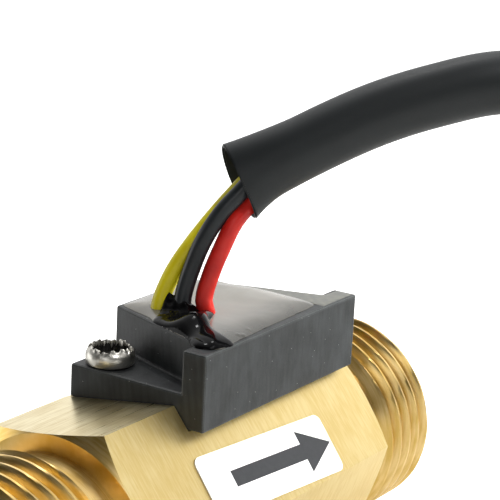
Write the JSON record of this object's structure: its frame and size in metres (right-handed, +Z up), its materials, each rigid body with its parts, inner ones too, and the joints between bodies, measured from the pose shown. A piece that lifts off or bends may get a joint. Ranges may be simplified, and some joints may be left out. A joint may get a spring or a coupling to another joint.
{
  "type": "water flow sensor",
  "caption": "Inline turbine meter for water: brass hexagon body with pipe threads at both ends, potted magnetic pick-up housing on top, and a sleeved signal cable with a plug.",
  "frame": {"origin": "under the middle of the brass body, on the flat of the hexagon that it rests on", "axes": "+X along the pipe in the flow's direction, +Z up through the hexagon's top flat, -Y towards the labelled side, from which the picture is taken"},
  "size_m": [0.1434, 0.0659, 0.0501],
  "materials": {
    "turned_brass": "turned and milled, brushed along the flats",
    "white_acetal": "moulded",
    "black_acetal": "moulded",
    "ferrite_magnet": "sintered, dull",
    "stainless_steel": "ground",
    "sintered_bronze": "sintered",
    "nickel_plating": "nickel plated",
    "black_housing_plastic": "moulded, fine grain",
    "board_laminate": "solder mask",
    "moulded_epoxy": "moulded",
    "ceramic": "fired",
    "potting_resin": "poured and set, glossy",
    "black_glue": "set in a wet-looking bead",
    "yellow_wire": "extruded PVC",
    "black_wire": "extruded PVC",
    "red_wire": "extruded PVC",
    "sleeve_rubber": "extruded soft PVC tube",
    "white_nylon": "moulded",
    "tinned_bronze": "stamped and tinned",
    "label_paper": "coated paper"
  },
  "bodies": {
    "meter": {"brass_body": "turned_brass", "flow_guide": "white_acetal", "outlet_support": "white_acetal", "inlet_bush": "sintered_bronze", "outlet_bush": "sintered_bronze", "retaining_ring": "stainless_steel", "sensor_housing": "black_housing_plastic", "inlet_housing_screw": "nickel_plating", "outlet_housing_screw": "nickel_plating", "circuit_board": "board_laminate", "hall_chip": "moulded_epoxy", "filter_capacitor": "ceramic", "pull_up_resistor": "moulded_epoxy", "potting_resin": "potting_resin", "root_glue": "black_glue", "flow_label": "label_paper", "signal_wire": "yellow_wire", "ground_wire": "black_wire", "supply_wire": "red_wire", "cable_sleeve": "sleeve_rubber", "signal_wire_tail": "yellow_wire", "ground_wire_tail": "black_wire", "supply_wire_tail": "red_wire", "cable_plug": "white_nylon", "signal_contact": "tinned_bronze", "ground_contact": "tinned_bronze", "supply_contact": "tinned_bronze"},
    "turbine": {"turbine_rotor": "black_acetal", "ring_magnet": "ferrite_magnet", "rotor_axle": "stainless_steel"}
  },
  "joints": [
    {"name": "rotor_spin", "type": "hinge", "parent": "meter", "child": "turbine", "pos_m": [0.0062, 0, 0.01085], "axis": [1, 0, 0], "continuous": true}
  ]
}
